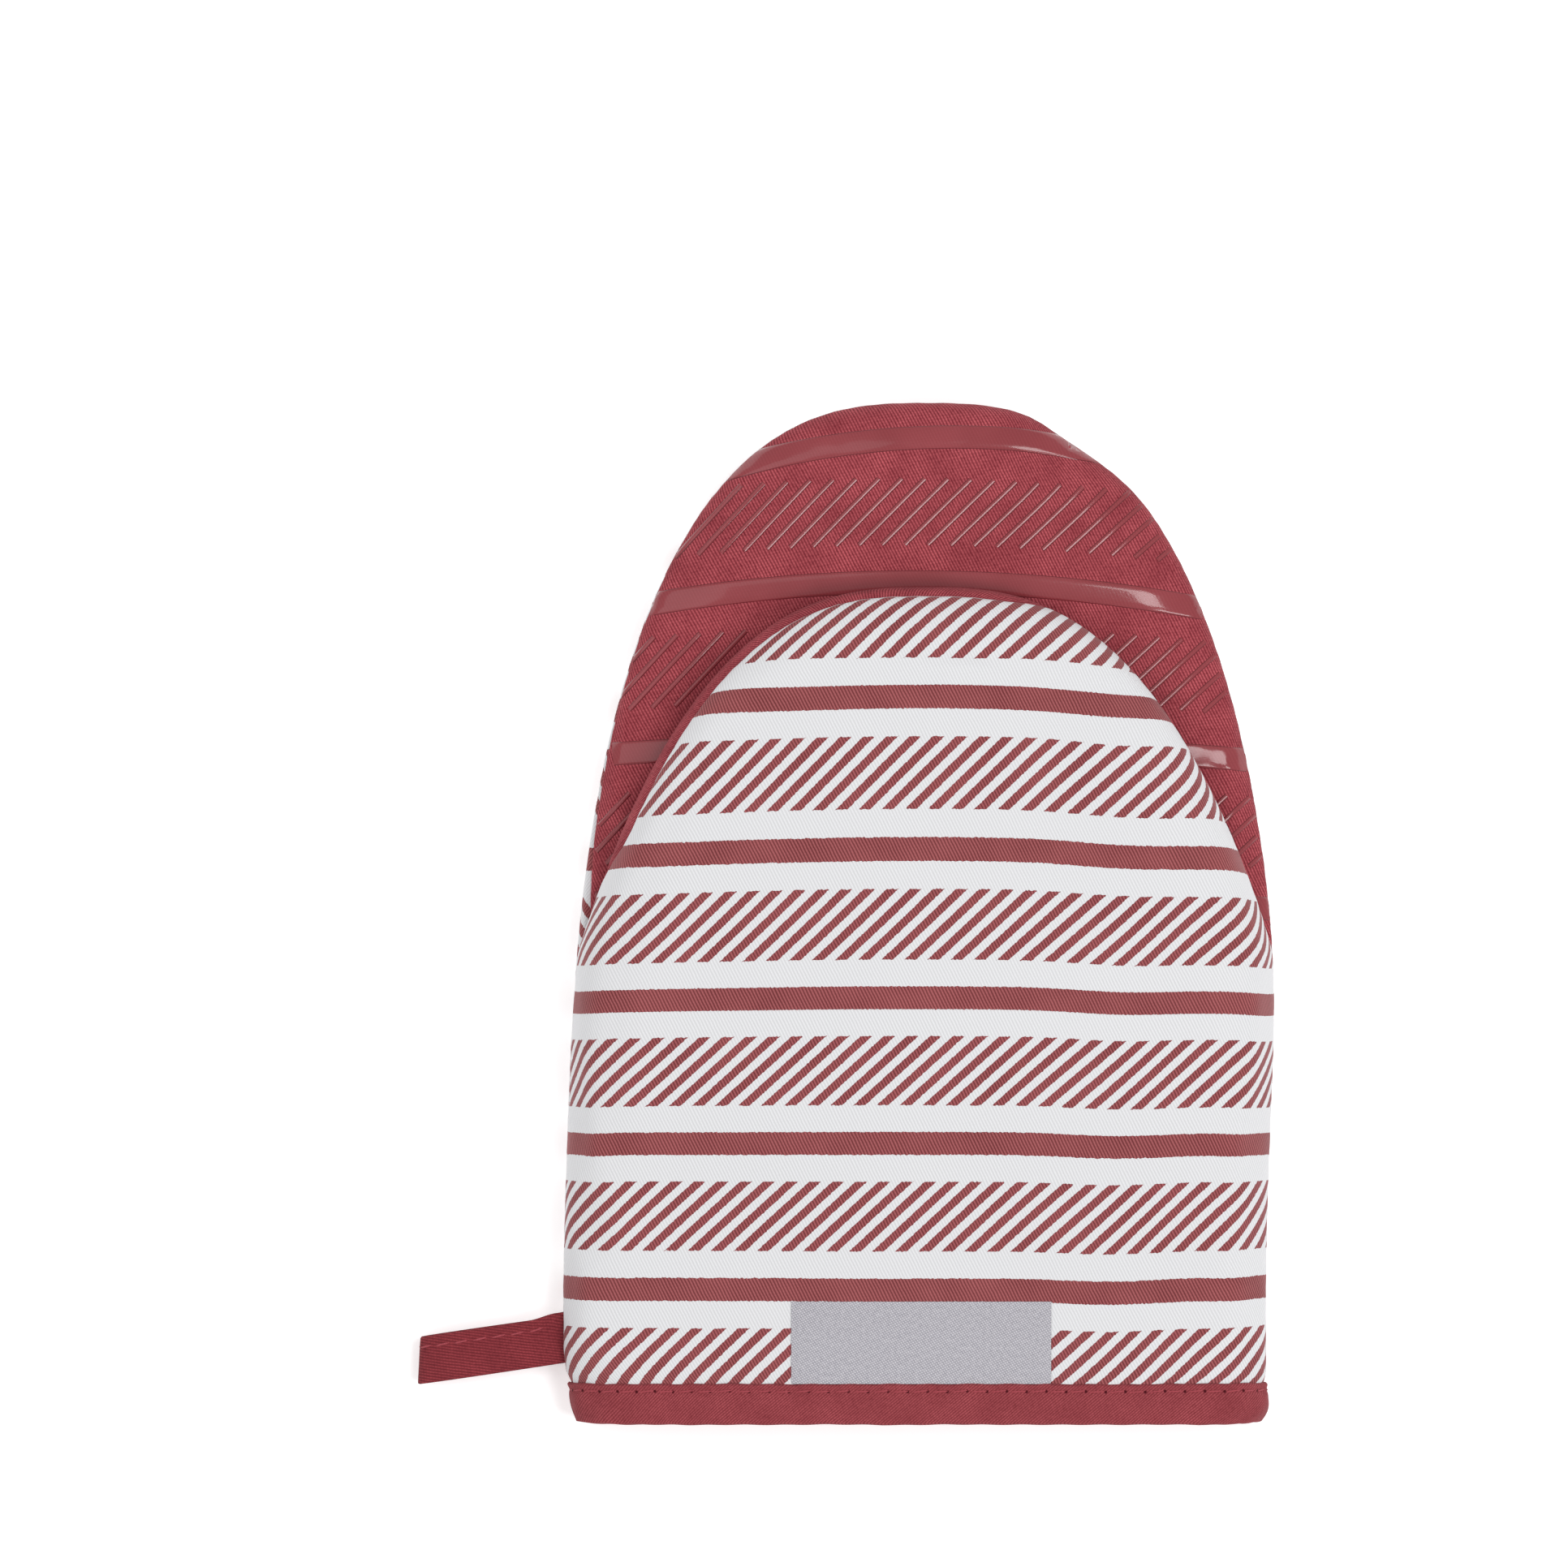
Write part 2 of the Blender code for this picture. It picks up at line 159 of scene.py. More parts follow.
@dataclass
class Panel:
    """One padded panel. Rows of cloth run from its outline in to the centre line."""

    base: float
    tip: float
    half_width: Callable
    seam: Callable
    face: Callable
    roll: float  # how far in from the outline the face levels off
    squareness: float
    up: int  # 1 if the outer face looks up, -1 if it looks down
    fan: float  # how far below the tip the rows start to fan out
    wrap: Callable = lambda h, side: 0.0  # angle past the widest line at which the seam lies
    partner: "Panel" = None

    def spine(self, h):
        """Where a row that starts at h on the outline meets the centre line."""
        spread = 14 * MM
        past = max(h - (self.tip - self.fan), 0)
        return h - past + spread * (1 - math.exp(-past / spread))

    def rows(self, step, start=None):
        """Heights on the outline up to the tip, evenly spaced along it."""
        start = self.base if start is None else start
        fine = 600
        turns = [math.pi / 2 * k / fine for k in range(fine + 1)]
        heights = [start + (self.tip - start) * math.sin(turn) for turn in turns]
        along = [0.0]
        for a, b in zip(heights, heights[1:]):
            along.append(along[-1] + math.hypot(b - a, self.half_width(b) - self.half_width(a)))
        count = math.ceil(along[-1] / step)
        chosen, k = [start], 0
        for row in range(1, count):
            while along[k] < along[-1] * row / count:
                k += 1
            chosen.append(heights[k])
        return [*chosen, self.tip]

    def edge_point(self, h, side, angle, depth, pinch=0.0):
        """(reach in from the outline, z) on the rounded edge. The angle is 0 at the widest line and a
        right angle where the face levels off. Below 0 it is on the other panel's side."""
        own = self if angle >= 0 or self.partner is None else self.partner
        layer = depth  # before the pinch
        from_seam = angle - self.wrap(h, side)
        along = h - self.half_width(h)
        drift = 2 * side + 3 * wave(along, side, 21 * MM, 4)
        ripple = math.sin(2 * math.pi * along / PUCKER_LENGTH + drift)
        depth += pinch * math.exp(-((from_seam / 0.07) ** 2))
        depth += pinch * 0.07 * ripple * math.exp(-((from_seam / 0.3) ** 2))
        power = 2 / own.squareness
        cos, sin = (max(f(abs(angle)), 0.0) ** power for f in (math.cos, math.sin))
        reach = own.roll - (own.roll - depth) * cos
        centre = self.seam(h)
        x = max(self.half_width(h) - reach, 0) * side
        z = centre + (own.face(x, h) - own.up * depth - centre) * sin
        return reach, max(z, self.above_hollow(x, h, reach, layer)) if layer > 0 else z

    def above_hollow(self, x, h, reach, layer):
        """Least height of an inner layer. Near the mouth's corners the thumb's underside is hollow."""
        centre = self.seam(h)
        hollow = self.face(x, h) - centre
        if self.up > 0 or hollow <= 0:
            return -math.inf
        outward = max(self.roll - reach, 0) / self.roll
        return centre + hollow * (1 - outward**self.squareness) ** (1 / self.squareness) + layer

    def row(self, h, depth, start_angle, bends, flats, pinch=0.0):
        """Points right across the panel and their places in the flat cloth. At the tip both halves
        run down the centre line and meet."""
        halves = []
        for side in (-1, 1) if h < self.tip else (1, 1):
            edge = Vector((self.half_width(h) * side, h))
            spine = Vector((0, self.spine(h)))
            length = (spine - edge).length
            inward = (spine - edge) / length
            first = self.wrap(h, side) + start_angle
            points = []
            for k in range(bends + 1):
                share = (k / bends) ** 1.5
                angle = first + (math.pi / 2 - first) * share
                reach, z = self.edge_point(h, side, angle, depth, pinch)
                at = edge + inward * min(reach, length)
                points.append(Vector((at.x, at.y, z)))
            for k in range(1, flats + 1):
                reach = self.roll + (length - self.roll) * k / flats
                at = edge + inward * reach
                points.append(Vector((at.x, at.y, self.face(at.x, at.y) - self.up * depth)))
            flat, cloth = spine.copy(), [spine.copy()]
            for a, b in zip(points[::-1], points[-2::-1]):
                flat = flat - inward * (a - b).length
                cloth.append(flat.copy())
            halves.append((points, cloth[::-1]))
        (left, left_cloth), (right, right_cloth) = halves
        return left + right[-2::-1], left_cloth + right_cloth[-2::-1]


def top_of_fingers(x, h):
    """Height of the finger grip's outer face."""
    reach = min(max(finger_half_width(h) - abs(x), 0), FINGER_GRIP.roll)
    cos = (FINGER_GRIP.roll - reach) / FINGER_GRIP.roll
    angle = math.acos(cos ** (FINGER_GRIP.squareness / 2))
    return FINGER_GRIP.edge_point(h, 1, angle, 0)[1]


def thumb_seam(h):
    """The thumb's edge starts at the finger seam's height in the mouth's corners, and lies over the
    fingers from there."""
    if h <= CREASE:
        return finger_seam(h)
    above = 1.0 * MM * smooth((h - CREASE) / (6 * MM)) + 3.6 * MM * smooth((h - CREASE) / (60 * MM))
    return top_of_fingers(front_half_width(h), h) + above


def back_wrap(h, side):
    """On the left the back's printed cloth shows past the finger grip's edge, most near the mouth."""
    if side > 0:
        return -0.03
    near_mouth = smooth((h - CREASE + 5 * MM) / (7 * MM)) * math.exp(-max(h - 99 * MM, 0) / (22 * MM))
    return -0.03 - 0.5 * near_mouth


def thumb_wrap(h, side):
    """The red cloth rolls over the thumb's edge on the upper left, and just past the tip."""
    if side > 0:
        return 0.08 - 0.5 * smooth((h - THUMB_TIP + 5.5 * MM) / (5 * MM))
    return 0.08 - 0.5 * smooth((h - 104 * MM) / (14 * MM))


def front_wrap(h, side):
    return 0.03 + (-thumb_wrap(h, side) - 0.03) * smooth((h - CREASE) / (4 * MM))


FINGER_GRIP = Panel(
    CREASE, FINGER_TIP, finger_half_width, finger_seam, finger_face,
    roll=13 * MM, squareness=2.2, up=1, fan=50 * MM, wrap=lambda h, side: -back_wrap(h, side),
)
BACK = Panel(
    PANEL_BASE, FINGER_TIP, finger_half_width, finger_seam, back_face,
    roll=11 * MM, squareness=2.1, up=-1, fan=50 * MM, wrap=back_wrap, partner=FINGER_GRIP,
)
FRONT = Panel(
    PANEL_BASE, THUMB_TIP, front_half_width, thumb_seam, front_face,
    roll=15 * MM, squareness=2.15, up=1, fan=45 * MM, wrap=front_wrap,
)
THUMB_GRIP = Panel(
    CREASE, THUMB_TIP, front_half_width, thumb_seam, thumb_under_face,
    roll=14 * MM, squareness=2.0, up=-1, fan=45 * MM, wrap=thumb_wrap, partner=FRONT,
)


def world(p):
    """From the mitt's own lying frame to the CAD's, with its unevenness. The mitt leans a little to
    the right, its left side draws in towards the cuff, its right corner is cut back, its binding
    pulls it in, and its tip is a little flatter on the right."""
    lean = -1.0 * MM + 2.2 * MM * smooth((p.y - 22 * MM) / (85 * MM))
    drawn_in = 3.0 * MM * max(1 - p.y / (14 * MM), 0) ** 1.1 * smooth((-p.x - 38 * MM) / (26 * MM))
    corner = 1.6 * MM * max(1 - p.y / (4 * MM), 0) ** 2 * smooth((p.x - 55 * MM) / (15 * MM))
    bound = 0.5 * MM * (1 - smooth((p.y - BINDING_WIDTH + 0.3 * MM) / (1.3 * MM))) * p.x / HALF_WIDTH
    near_tip = math.exp(-(((p.y - FINGER_TIP + 6.5 * MM) / (8 * MM)) ** 2))
    flatter = 2.8 * MM * near_tip * smooth((p.x - 14 * MM) / (18 * MM))
    return Vector((p.x + lean + drawn_in - corner - bound - flatter, p.y + CUFF, p.z))


def printed(flat):
    """Where a point of the flat cloth lies in its print. The printed lines bow and dip a little."""
    x, h = flat.x, flat.y
    across = min(max(x / (60 * MM), -1.2), 1.2)
    bow = 2.6 * MM * max((h - 50 * MM) / (95 * MM), -0.12)
    dip = 0.75 * MM * math.exp(-(((x - 39 * MM) / (13 * MM)) ** 2))
    stretch = 1.3 * MM * smooth((h - 92 * MM) / (58 * MM))
    shrink = 0.7 * MM * smooth((h - 40 * MM) / (80 * MM))
    arch = bow * across * across * (1 + 0.15 * across)
    return (x, h - (stretch - shrink) - 0.4 * MM + arch + dip, 0)


# ---------------- meshes


def mesh_object(name, points, faces, cloth, material, smooth_angle=50):
    """A piece with its points in world places. cloth gives each point's place in its own material,
    or is None."""
    mesh = bpy.data.meshes.new(name)
    mesh.from_pydata([tuple(p) for p in points], [], faces)
    if cloth is not None:
        attribute = mesh.attributes.new("cloth", "FLOAT_VECTOR", "POINT")
        attribute.data.foreach_set("vector", [c for place in cloth for c in place])
    bm = bmesh.new()
    bm.from_mesh(mesh)
    bmesh.ops.remove_doubles(bm, verts=bm.verts, dist=1e-7)
    bmesh.ops.dissolve_degenerate(bm, edges=bm.edges, dist=1e-8)
    bmesh.ops.recalc_face_normals(bm, faces=bm.faces)
    if bm.calc_volume(signed=True) < 0:
        bmesh.ops.reverse_faces(bm, faces=bm.faces)
    bm.to_mesh(mesh)
    bm.free()
    mesh.shade_smooth()
    mesh.set_sharp_from_angle(angle=math.radians(smooth_angle))
    mesh.materials.append(material)
    piece = bpy.data.objects.new(name, mesh)
    bpy.context.scene.collection.objects.link(piece)
    return piece


def grid_faces(rows, columns, offset=0, ring=False):
    """Faces between the points of a grid. In a ring, each row's last point joins its first."""
    corners = ((0, 0), (1, 0), (1, 1), (0, 1))
    return [
        tuple(offset + (r + down) * columns + (c + on) % columns for down, on in corners)
        for r in range(rows - 1)
        for c in range(columns if ring else columns - 1)
    ]


def solid_grid(name, outer, inner, cloth, material, closed_tip=False, ring=False):
    """A closed sheet between two grids of points."""
    rows, columns = len(outer), len(outer[0])
    points = [p for grid in (outer, inner) for row in grid for p in row]
    places = [p for row in cloth for p in row] * 2
    half = rows * columns
    faces = grid_faces(rows, columns, 0, ring)
    faces += [face[::-1] for face in grid_faces(rows, columns, half, ring)]
    ends = (0,) if closed_tip else (0, rows - 1)
    border = [[r * columns + c % columns for c in range(columns + ring)] for r in ends]
    if not ring:
        border += [[r * columns + c for r in range(rows)] for c in (0, columns - 1)]
    for line in border:
        faces += [(a, b, b + half, a + half) for a, b in zip(line, line[1:])]
    return mesh_object(name, points, faces, places, material)


def panel_layer(name, panel, depths, material, moves, skip=1, start_angle=0.0, pinch=0.0):
    """One layer of a panel as a closed sheet. moves says how far each of its points has settled."""
    heights = panel.rows(ROW_STEP)
    chosen = sorted({*range(0, len(heights), skip), len(heights) - 1})
    grids = []
    for depth in depths:
        grid, cloth = [], []
        for r in chosen:
            points, flat = panel.row(heights[r], depth, start_angle, BENDS, FLATS, pinch)
            grid.append([world(p + move) for p, move in zip(points[::skip], moves[r][::skip])])
            cloth.append([printed(place) for place in flat[::skip]])
        grids.append(grid)
    return solid_grid(name, *grids, cloth, material, closed_tip=True)


def blurred(moves):
    """The moves, each evened out with the four around it."""
    rows, columns = len(moves), len(moves[0])
    result = [[move.copy() for move in line] for line in moves]
    for r in range(1, rows - 1):
        for c in range(1, columns - 1):
            around = moves[r - 1][c] + moves[r + 1][c] + moves[r][c - 1] + moves[r][c + 1]
            result[r][c] = moves[r][c] * 0.5 + around * 0.125
    return result


def settled(panel, most):
    """How far each point of a panel's outer face moves when its cloth, cut a little larger than the
    outline it is sewn to, is let go. No point moves further than the given distance."""
    heights = panel.rows(ROW_STEP)
    rows = [panel.row(h, 0, 0.0, BENDS, FLATS)[0] for h in heights]
    scale = 10  # the solver suits cloth of this size
    index, points, numbers = {}, [], []
    for row in rows:
        numbers.append([])
        for p in row:
            key = tuple(round(c / (0.02 * MM)) for c in p)
            if key not in index:
                index[key] = len(points)
                points.append(p * scale)
            numbers[-1].append(index[key])
    columns = len(rows[0])
    faces = []
    for a, b in zip(numbers, numbers[1:]):
        for c in range(columns - 1):
            corners = list(dict.fromkeys((a[c], b[c], b[c + 1], a[c + 1])))
            if len(corners) > 2:
                faces.append(corners if panel.up > 0 else corners[::-1])
    mesh = bpy.data.meshes.new("settling")
    mesh.from_pydata(points, [], faces)
    sample = bpy.data.objects.new("settling", mesh)
    bpy.context.scene.collection.objects.link(sample)
    sewn = sample.vertex_groups.new(name="sewn")
    edge = {*numbers[0], *(n for row in numbers for n in (row[0], row[1], row[-2], row[-1]))}
    sewn.add(sorted(edge), 1.0, "ADD")
    cloth = sample.modifiers.new("Cloth", "CLOTH")
    settings = cloth.settings
    settings.vertex_group_mass = "sewn"
    settings.quality = 5
    settings.mass = 0.05
    settings.air_damping = 3
    settings.tension_stiffness = settings.compression_stiffness = 20
    settings.shear_stiffness = 8
    settings.bending_stiffness = 2.5
    settings.shrink_min = -0.012
    settings.use_pressure = True
    settings.uniform_pressure_force = 0.5
    settings.effector_weights.gravity = 0
    cloth.collision_settings.use_collision = False
    frames = 16
    cloth.point_cache.frame_end = frames
    for number in range(1, frames + 1):
        bpy.context.scene.frame_set(number)
    shape = sample.evaluated_get(bpy.context.evaluated_depsgraph_get()).to_mesh()
    after = [v.co / scale for v in shape.vertices]
    moves = []
    for h, row, ids in zip(heights, rows, numbers):
        hold = smooth((h - panel.base - 7 * MM) / (10 * MM)) if panel.base == PANEL_BASE else 1.0
        line = []
        for c, (p, n) in enumerate(zip(row, ids)):
            move = after[n] - p
            length = max(move.length, 1e-9)
            near_seam = smooth(min(c, columns - 1 - c) / BENDS)
            line.append(move * (near_seam * hold * most * math.tanh(length / most) / length))
        moves.append(line)
    for _ in range(2):
        moves = blurred(moves)
    for line, row in zip(moves, rows):
        for move, p in zip(line, row):
            move.z = max(move.z, -p.z)  # the table is in the way
    bpy.data.objects.remove(sample)
    bpy.context.scene.frame_set(1)
    return moves


# ---------------- materials


class Graph:
    """A material's nodes. Colours and numbers that don't vary go straight on the shader's sockets."""

    def __init__(self, name, roughness, **constants):
        self.material = bpy.data.materials.new(name)
        self.material.use_nodes = True
        self.tree = self.material.node_tree
        self.shader = self.tree.nodes["Principled BSDF"]
        self.shader.inputs["Roughness"].default_value = roughness
        for socket, value in constants.items():
            self.shader.inputs[socket.replace("_", " ")].default_value = value

    def add(self, kind, inputs=(), **settings):
        node = self.tree.nodes.new(f"ShaderNode{kind}")
        for key, value in settings.items():
            setattr(node, key, value)
        for socket, value in dict(inputs).items():
            self.put(node.inputs[socket], value)
        return node

    def put(self, socket, value):
        if isinstance(value, bpy.types.NodeSocket):
            self.tree.links.new(value, socket)
        else:
            socket.default_value = value

    def math(self, operation, *values):
        node = self.add("Math", operation=operation)
        for socket, value in zip(node.inputs, values):
            self.put(socket, value)
        return node.outputs[0]

    def chain(self, operation, values):
        total = values[0]
        for value in values[1:]:
            total = self.math(operation, total, value)
        return total

    def sum(self, *values):
        return self.chain("ADD", values)

    def times(self, *values):
        return self.chain("MULTIPLY", values)

    def cloth(self):
        """The cloth's own flat coordinates, in metres."""
        place = self.add("Attribute", attribute_name="cloth", attribute_type="GEOMETRY")
        split = self.add("SeparateXYZ", {0: place.outputs["Vector"]})
        return place.outputs["Vector"], split.outputs[0], split.outputs[1]

    def noise(self, vector, size, detail=2.0, roughness=0.5):
        inputs = {"Vector": vector, "Scale": 1 / size, "Detail": detail, "Roughness": roughness}
        return self.add("TexNoise", inputs).outputs["Fac"]

    def band(self, value, low, high, soft):
        """1 where the value is between low and high."""
        up = self.step(value, low, soft)
        down = self.step(value, high, soft)
        return self.math("SUBTRACT", up, down)

    def step(self, value, edge, soft):
        node = self.add("MapRange", interpolation_type="SMOOTHSTEP")
        for socket, number in (("Value", value), ("From Min", edge - soft), ("From Max", edge + soft)):
            self.put(node.inputs[socket], number)
        return node.outputs[0]

    def mix(self, factor, a, b):
        node = self.add("Mix", data_type="RGBA")
        for socket, value in ((node.inputs[0], factor), (node.inputs[6], a), (node.inputs[7], b)):
            self.put(socket, value)
        return node.outputs[2]

    def finish(self, colour, height, depth, strength=1.0):
        bump = self.add("Bump", {"Strength": strength, "Distance": depth, "Height": height})
        self.tree.links.new(bump.outputs[0], self.shader.inputs["Normal"])
        self.put(self.shader.inputs["Base Color"], colour)
        return self.material


def colour(red, green, blue):
    """A colour from its 0 to 255 values as seen."""
    return (*((((c / 255) + 0.055) / 1.055) ** 2.4 for c in (red, green, blue)), 1)


def twill(g, pitch, lines_at, float_depth=0.17, float_length=0.62 * MM):
    """Height of a twill's slanting ridges, from 0 to 1. lines_at is their angle from x."""
    place, x, y = g.cloth()
    turn = lines_at - math.pi / 2
    across = g.sum(g.times(x, math.cos(turn)), g.times(y, math.sin(turn)))
    along = g.sum(g.times(x, -math.sin(turn)), g.times(y, math.cos(turn)))
    uneven = g.times(g.noise(place, 2.2 * MM, 3), 2.4)
    phase = g.sum(g.times(across, 2 * math.pi / pitch), uneven)
    ridge = g.math("MULTIPLY_ADD", g.math("SINE", phase), 0.5, 0.5)
    step = g.times(g.math("FLOOR", g.math("DIVIDE", phase, 2 * math.pi)), 2.1)
    floats = g.math("SINE", g.sum(g.times(along, 2 * math.pi / float_length), step))
    yarn = g.math("MULTIPLY_ADD", floats, float_depth, 1 - float_depth)
    return place, x, y, g.times(ridge, yarn)


TWILL_PITCH = 0.6 * MM
STEEP = math.radians(117)


def striped_cotton():
    """White twill with printed red stripes and rows of slanting lines between them."""
    g = Graph("striped_cotton", 0.86, Sheen_Weight=0.12, Sheen_Roughness=0.5, Specular_IOR_Level=0.25)
    place, x, y, weave = twill(g, TWILL_PITCH, STEEP, 0.08)
    ragged = g.math("MULTIPLY_ADD", g.noise(place, 0.5 * MM, 1), 0.5 * MM, -0.25 * MM)
    repeat = 29.2 * MM
    first_stripe = 26.4 * MM
    from_stripe = g.math("DIVIDE", g.sum(y, ragged, -first_stripe), repeat)
    nearest = g.math("SUBTRACT", from_stripe, g.math("FLOOR", g.sum(from_stripe, 0.5)))
    distance = g.times(g.math("ABSOLUTE", nearest), repeat)
    soft = 0.07 * MM
    stripe = g.math("SUBTRACT", 1.0, g.step(distance, 2.3 * MM, soft))
    hatch_row = g.step(distance, 7.65 * MM, soft)
    row_start = g.times(g.math("FLOOR", from_stripe), 3.36 * MM)
    slant = g.math("DIVIDE", g.sum(x, g.times(y, -1.05), row_start, ragged), 4.56 * MM)
    line = g.band(g.math("FRACT", slant), 0.25, 0.76, 0.016)
    ink = g.math("MAXIMUM", stripe, g.times(hatch_row, line))
    fade = g.noise(place, 9 * MM, 3)
    white = g.mix(weave, colour(209, 209, 211), colour(229, 229, 231))
    worn = g.sum(g.times(fade, 0.4), g.times(weave, 0.8), -0.1)
    red = g.mix(worn, colour(98, 35, 39), colour(174, 97, 99))
    return g.finish(g.mix(ink, white, red), weave, 0.07 * MM, 0.5)


def red_cotton(name, pitch, lines_at, dark, light, depth=0.13 * MM, needle_hole_shade=False):
    """Dyed twill, with yarns of slightly different reds."""
    g = Graph(name, 0.92, Sheen_Weight=0.04, Sheen_Roughness=0.5, Specular_IOR_Level=0.1)
    place, x, y, weave = twill(g, pitch, lines_at, 0.2)
    patchy = g.noise(place, 14 * MM, 3)
    clear = g.math("MULTIPLY_ADD", g.noise(place, 7 * MM, 2), 1.0, 0.15)  # how clearly the lines show
    yarns = g.noise(place, 0.7 * MM, 3)
    level = g.sum(g.times(weave, clear), g.times(yarns, 0.6), -0.24)
    cloth_colour = g.mix(g.sum(level, g.times(patchy, 0.1)), dark, light)
    # Painted shade: near-black dots where the needle holes sink into the tape.
    if needle_hole_shade:
        from_hole = g.math("FRACT", g.math("DIVIDE", g.sum(x, -STITCH_LENGTH), STITCH_PITCH))
        beside = g.times(g.math("PINGPONG", from_hole, 0.5), STITCH_PITCH)
        above = g.sum(y, -STITCH_ROW)
        away = g.math("POWER", g.sum(g.times(beside, beside), g.times(above, above)), 0.5)
        cloth_colour = g.mix(g.step(away, 0.3 * MM, 0.12 * MM), colour(74, 16, 24), cloth_colour)
    return g.finish(cloth_colour, weave, depth, 0.75)


def plain_weave(name, pitch, dark, light, roughness):
    """A plain weave of crossing yarns."""
    g = Graph(name, roughness)
    place, x, y = g.cloth()
    yarns = [g.math("SINE", g.times(along, 2 * math.pi / pitch)) for along in (x, y)]
    weave = g.math("MULTIPLY_ADD", g.times(*yarns), 0.5, 0.5)
    level = g.sum(g.times(weave, 0.6), g.times(g.noise(place, 1.5 * MM, 3), 0.4))
    return g.finish(g.mix(level, dark, light), weave, 0.06 * MM, 0.6)


def satin():
    """The label's tape, a fine satin whose threads make slanting rows of dots."""
    g = Graph("grey_satin", 0.55, Sheen_Weight=0.1, Specular_IOR_Level=0.3)
    place, _, _, weave = twill(g, 0.46 * MM, math.radians(130), 0.5, 0.44 * MM)
    level = g.sum(g.times(weave, 0.9), g.times(g.noise(place, 0.7 * MM, 2), 0.6), -0.2)
    return g.finish(g.mix(level, colour(146, 144, 152), colour(214, 211, 216)), weave, 0.05 * MM, 0.5)


def batting():
    g = Graph("batting", 1.0, Sheen_Weight=0.3)
    place, _, _ = g.cloth()
    fluff = g.noise(place, 1.6 * MM, 6, 0.7)
    return g.finish(g.mix(fluff, colour(205, 202, 195), colour(240, 238, 232)), fluff, 0.6 * MM)


def silicone():
    """Printed silicone. The third coordinate is how far in from the print's edge a point is."""
    g = Graph("red_silicone", 0.15, Specular_IOR_Level=0.28, Coat_Weight=0.25, Coat_Roughness=0.05)
    place, _, _, weave = twill(g, TWILL_PITCH, STEEP)  # the cloth shows faintly through
    split = g.add("SeparateXYZ", {0: place})
    # Painted shade: the silicone turns near-black within about 0.15 mm of a strip's edges.
    edge_shade = g.math("SUBTRACT", 1.0, g.step(split.outputs[2], 0.15 * MM, 0.09 * MM))
    grain = g.sum(g.noise(place, 0.9 * MM, 3), g.times(weave, 0.2))
    tone = g.sum(g.times(g.noise(place, 12 * MM, 2), 0.8), g.times(weave, 0.3), -0.05)
    body = g.mix(tone, colour(128, 48, 53), colour(155, 70, 76))
    return g.finish(g.mix(edge_shade, body, colour(90, 25, 31)), grain, 0.03 * MM, 0.35)


def sewing_thread():
    g = Graph("red_thread", 0.7, Sheen_Weight=0.05, Specular_IOR_Level=0.2)
    coordinates = g.add("TexCoord").outputs["Object"]
    plies = g.noise(coordinates, 0.25 * MM, 2)
    return g.finish(g.mix(plies, colour(130, 44, 54), colour(190, 88, 96)), plies, 0.05 * MM)


STITCH_ROW = 6.7 * MM
STITCH_PITCH = 3.95 * MM
STITCH_LENGTH = 3.1 * MM

STRIPED = striped_cotton()
RED_TWILL = red_cotton("red_twill", TWILL_PITCH, STEEP, colour(109, 32, 42), colour(204, 100, 107))
BIAS_TAPE = red_cotton(
    "bias_tape", 0.46 * MM, math.radians(40), colour(114, 42, 48), colour(178, 86, 92), 0.06 * MM, True
)
LOOP_TAPE = red_cotton(
    "loop_tape", 0.55 * MM, math.radians(15), colour(100, 34, 41), colour(163, 68, 74)
)
LINING_CLOTH = plain_weave(
    "lining_cotton", 0.5 * MM, colour(196, 194, 190), colour(226, 224, 221), 0.9
)
SATIN = satin()
BATTING = batting()
SILICONE = silicone()
THREAD = sewing_thread()


# ---------------- panels


def attach(piece, body, slot, *nodes):
    """Puts a piece on a body, in place of CAD nodes. The thumb side's pieces are put on no body;
    their transforms are baked into their meshes."""
    if body == "thumb_side":
        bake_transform(piece)
    else:
        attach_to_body(piece, body)
    if nodes:
        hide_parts(*nodes)
    return piece


def flat_area(panel):
    """Area of the cut cloth, without its seam allowances."""
    steps = 200
    heights = [panel.base + (panel.tip - panel.base) * (k + 0.5) / steps for k in range(steps)]
    rolled = (math.pi / 2 - 1) * panel.roll
    return sum(2 * (panel.half_width(h) + rolled) for h in heights) * (panel.tip - panel.base) / steps


def declare_cloth(panel):
    at_sides, at_ends = 12 * MM, 10 * MM  # seam allowances
    width = 2 * panel.half_width(panel.base) + at_sides
    flat_area(panel)


def padded_panel(name, panel, cloth, slot, body, wadding_nodes, most):
    """A panel's shell, wadding and lining. Its cloth settles by the given distance at most."""
    moves = settled(panel, most)
    shell = panel_layer(f"{name}_cloth", panel, SHELL, cloth, moves, pinch=0.6 * MM)
    attach(shell, body, slot, f"{name}_shell")
    wadding = panel_layer(f"{name}_batting", panel, WADDING, BATTING, moves, HIDDEN, start_angle=0.25)
    attach(wadding, body, "batting", *wadding_nodes)
    lining = panel_layer(
        f"{name}_inner_cloth", panel, LINING, LINING_CLOTH, moves, HIDDEN, start_angle=0.3
    )
    attach(lining, body, "lining_cotton", f"{name}_lining")
    declare_cloth(panel)
    declare_cloth(panel)
    return shell


padded_panel("back", BACK, STRIPED, "striped_cotton", "hand_side", ["back_wadding"], 0.6 * MM)
finger_grip = padded_panel(
    "finger_grip", FINGER_GRIP, RED_TWILL, "red_twill", "hand_side", ["finger_grip_wadding"],
    0.8 * MM,
)
thumb_grip = padded_panel(
    "thumb_grip", THUMB_GRIP, RED_TWILL, "red_twill", "thumb_side", ["thumb_grip_wadding"],
    0.5 * MM,
)
front = padded_panel(
    "front", FRONT, STRIPED, "striped_cotton", "thumb_side",
    ["front_wadding_wrist", "front_wadding_thumb"], 1.1 * MM,
)


